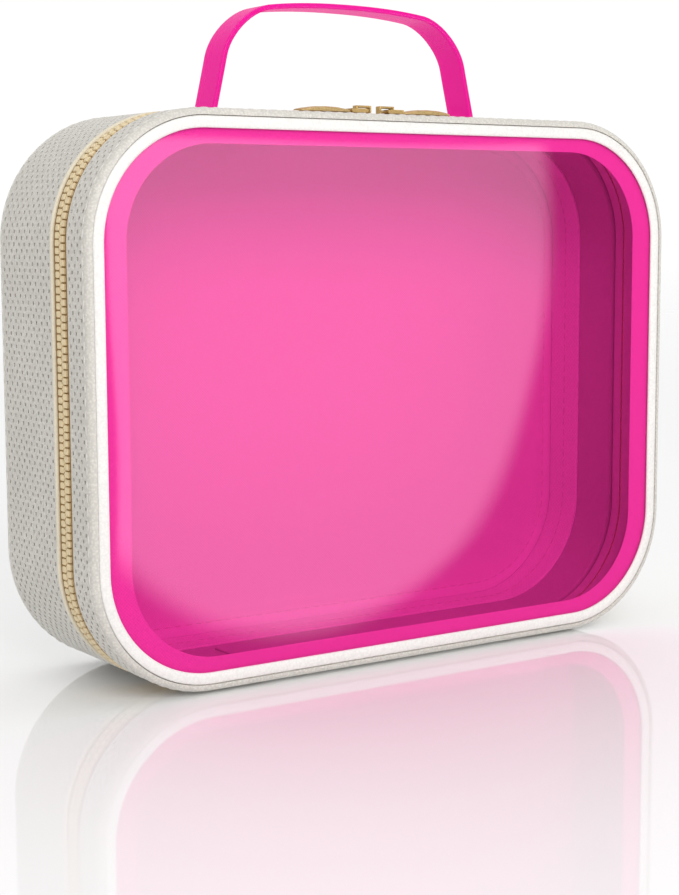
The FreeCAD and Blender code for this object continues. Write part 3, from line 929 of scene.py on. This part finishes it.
stitch_row("front_edge_stitches", CASE, 0.0, FRONT + SHOULDER_DEPTH + 0.35 * MM, "lid")
stitch_row("rear_edge_stitches", CASE, 0.0, BACK - SHOULDER_DEPTH - 0.35 * MM, "case_body")
binding_middle = (binding_low.y + binding_high.y) / 2
stitch_row("binding_stitches", CASE, 4.25 * MM, binding_middle, "case_body")
stitch_row("panel_stitches", inner_outline(CLOTH_INSET + STITCH_LINE), 0.0,
           inner_cloth_height(STITCH_LINE, 0, 0) - 0.05 * MM, "case_body", True)


# ---------------------------------------------------------------- hinge

def hinge_cloth(name, nodes, material, skive):
    """Cloth across the bottom, in one piece, thinned at its edges, that spans the two trays."""
    boxes = [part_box(node) for node in nodes]
    low = Vector([min(values) for values in zip(*(corner[0] for corner in boxes))])
    high = Vector([max(values) for values in zip(*(corner[1] for corner in boxes))])
    columns, rows = 60, 66
    bm = grid(columns, rows)
    for vertex in bm.verts:
        x = low.x + (high.x - low.x) * vertex.co.x / columns
        y = low.y + (high.y - low.y) * vertex.co.y / rows
        vertex.co = (x, y, high.z)
    top = set(bm.verts)
    bmesh.ops.solidify(bm, geom=bm.faces, thickness=high.z - low.z)
    for vertex in bm.verts:
        if vertex not in top:
            x, y = vertex.co.x, vertex.co.y
            from_edge = min(x - low.x, high.x - x, y - low.y, high.y - y)
            thinning = max(1.0 - from_edge / (5.0 * MM), 0.0)
            vertex.co.z = low.z + skive * thinning**2
        else:
            vertex.co.z = high.z
    bmesh.ops.recalc_face_normals(bm, faces=bm.faces)
    cloth = bm.loops.layers.uv.verify()
    for face in bm.faces:
        for loop in face.loops:
            loop[cloth].uv = (loop.vert.co.x / MM, loop.vert.co.y / MM)
    made = add_piece(name, bm, None, [material], nodes)
    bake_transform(made)
    return made


hinge_cloth("hinge_strip", ["hinge_panel_lid", "hinge_panel_rear"], SMOOTH, 0.7 * MM)
hinge_cloth("hinge_inner_strip", ["hinge_lining_lid", "hinge_lining_rear"], LINING, 0.0)


# ---------------------------------------------------------------- handle

strap_low, strap_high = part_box("handle_strap")
root_low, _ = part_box("handle_root_right")
STRAP_THICKNESS = 1.8 * MM


def strap_path():
    """Middle line of the strap from one end, under the lining, to the other, as (x, z) points."""
    crown_z = strap_high.z - STRAP_THICKNESS / 2
    foot_z = root_low.z + 1.0 * MM
    half = [
        ((root_low.x, foot_z), (root_low.x + 12 * MM, foot_z)),
        ((53.2 * MM, foot_z), (48 * MM, foot_z), (55.2 * MM, foot_z)),
        ((56.7 * MM, foot_z + 2.2 * MM), (56.7 * MM, foot_z + 1.0 * MM), (56.7 * MM, foot_z + 4 * MM)),
        ((56.6 * MM, TOP + 1 * MM), (56.7 * MM, TOP - 1 * MM), (55.9 * MM, TOP + 4 * MM)),
        ((52.0 * MM, TOP + 20.6 * MM), (53.1 * MM, TOP + 15.6 * MM), (50.4 * MM, TOP + 28.0 * MM)),
        ((33.9 * MM, TOP + 37.8 * MM), (41.9 * MM, TOP + 36.3 * MM), (23.2 * MM, TOP + 39.3 * MM)),
        ((0.0, crown_z), (12.0 * MM, crown_z), (0.0, crown_z)),
    ]
    points = []
    for knot, following in zip(half, half[1:]):
        start, out = knot[0], knot[1] if len(knot) == 2 else knot[2]
        end, back = following[0], following[1]
        bezier = [Vector((*p, 0.0)) for p in (start, out, back, end)]
        points += [(p.x, p.y) for p in interpolate_bezier(*bezier, 13)[:-1]]
    mirrored = [(-x, z) for x, z in points]
    return mirrored + [(0.0, crown_z)] + points[::-1]


def handle():
    """Moulded strap: slit to slit over the top, with its ends folded inside."""
    path = strap_path()
    rows = 8
    bm = grid(len(path) - 1, rows)
    y_low, y_high = strap_low.y, strap_high.y
    for vertex in bm.verts:
        index, row = int(round(vertex.co.x)), int(round(vertex.co.y))
        x, z = path[index]
        vertex.co = (x, y_low + (y_high - y_low) * row / rows, z)
    bmesh.ops.recalc_face_normals(bm, faces=bm.faces)
    made = add_piece("pink_handle", bm, None, [STRAP],
                     ["handle_strap", "handle_root_left", "handle_root_right"], 60.0)
    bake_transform(made)
    modify(made, "SOLIDIFY", thickness=STRAP_THICKNESS, offset=0.0, use_even_offset=True)
    modify(made, "BEVEL", width=0.45 * MM, segments=3, limit_method="ANGLE", angle_limit=math.radians(40.0))
    return made


handle()


# ---------------------------------------------------------------- floor, lights and camera

def floor_finish():
    """White acrylic with a slight haze."""
    finish = Finish("white_floor")
    haze = finish.noise(finish.spot(), 3.0, 1.0)
    return finish.done(finish.principled(base_color=(0.95, 0.95, 0.95, 1.0), roughness=0.02 + haze * 0.03,
                                         specular_ior_level=0.3))


bm = bmesh.new()
bmesh.ops.create_grid(bm, x_segments=2, y_segments=2, size=9.0)
floor_mesh = bpy.data.meshes.new("floor")
bm.to_mesh(floor_mesh)
bm.free()
floor_mesh.materials.append(floor_finish())
floor = bpy.data.objects.new("floor", floor_mesh)
bpy.context.scene.collection.objects.link(floor)
floor.location.z = -0.0002
floor.visible_glossy = False

world = bpy.data.worlds.new("studio")
world.use_nodes = True
sky = Finish("studio_walls", world)
facing = sky.node("ShaderNodeVectorMath", {"operation": "DOT_PRODUCT"},
                  {0: sky.node("ShaderNodeTexCoord", output="Generated"), 1: (0.8, 0.6, 0.0)}, "Value")
bright = sky.node("ShaderNodeMapRange", {"interpolation_type": "SMOOTHSTEP"},
                  {"Value": facing, "From Min": -0.5, "From Max": 0.78, "To Min": 0.66, "To Max": 1.02})
sky.done(sky.node("ShaderNodeBackground", None, {"Color": (1.0, 1.0, 1.0, 1.0), "Strength": bright}))
bpy.context.scene.world = world


def reflected_panel():
    """Large dim panel in front and to the right, which shows as the milky patch on the window."""
    finish = Finish("panel_glow")
    x, _, z = finish.axes(finish.spot())
    across, up = (x - 0.39) * (1 / 0.257), (z - 0.135) * (1 / 0.305)
    share = finish.ramp((across * across + up * up).root(), 1.05, 0.95)
    share = share * finish.ramp(x, 0.212, 0.218) * finish.ramp(z, 0.229, 0.221)
    glow = finish.mix(share, (0.0, 0.0, 0.0, 1.0), (1.0, 1.0, 1.0, 1.0))
    material = finish.done(finish.principled(
        base_color=(0.0, 0.0, 0.0, 1.0),
        roughness=1.0,
        specular_ior_level=0.0,
        emission_color=glow,
        emission_strength=3.7,
    ))
    bm = bmesh.new()
    bmesh.ops.create_grid(bm, x_segments=2, y_segments=2, size=0.5)
    bmesh.ops.scale(bm, vec=(0.9, 0.95, 1.0), verts=bm.verts)
    bmesh.ops.rotate(bm, matrix=Matrix.Rotation(-math.pi / 2, 3, "X"), verts=bm.verts)
    bmesh.ops.translate(bm, vec=(0.635, -0.70, 0.0), verts=bm.verts)
    mesh = bpy.data.meshes.new("reflected_panel")
    bm.to_mesh(mesh)
    bm.free()
    mesh.materials.append(material)
    made = bpy.data.objects.new("reflected_panel", mesh)
    made.visible_camera = made.visible_shadow = False
    made.visible_diffuse = made.visible_transmission = False
    bpy.context.scene.collection.objects.link(made)


reflected_panel()


def softbox(name, place, target, size, radiance):
    """Soft rectangular light whose face is this bright."""
    light = bpy.data.lights.new(name, "AREA")
    light.shape = "RECTANGLE"
    light.size, light.size_y = size
    light.energy = radiance * math.pi * size[0] * size[1]
    made = bpy.data.objects.new(name, light)
    made.location = place
    made.rotation_euler = (Vector(target) - Vector(place)).to_track_quat("-Z", "Y").to_euler()
    bpy.context.scene.collection.objects.link(made)
    return made


softbox("key_softbox", (-0.4, -1.35, 0.8), (0.0, 0.0, 0.1), (1.0, 0.8), 4.4)

camera_data = bpy.data.cameras.new("camera")
camera_data.lens = 72.05
camera_data.sensor_width = 36.0
camera = bpy.data.objects.new("camera", camera_data)
yaw, pitch, roll = -0.597, -0.124, -0.004
turn = (Matrix.Rotation(yaw, 4, "Z") @ Matrix.Rotation(math.pi / 2 + pitch, 4, "X")
        @ Matrix.Rotation(roll, 4, "Z"))
camera.matrix_world = Matrix.Translation((-0.3744, -0.5421, 0.1563)) @ turn
bpy.context.scene.collection.objects.link(camera)
bpy.context.scene.camera = camera
bpy.context.scene.view_settings.view_transform = "Standard"
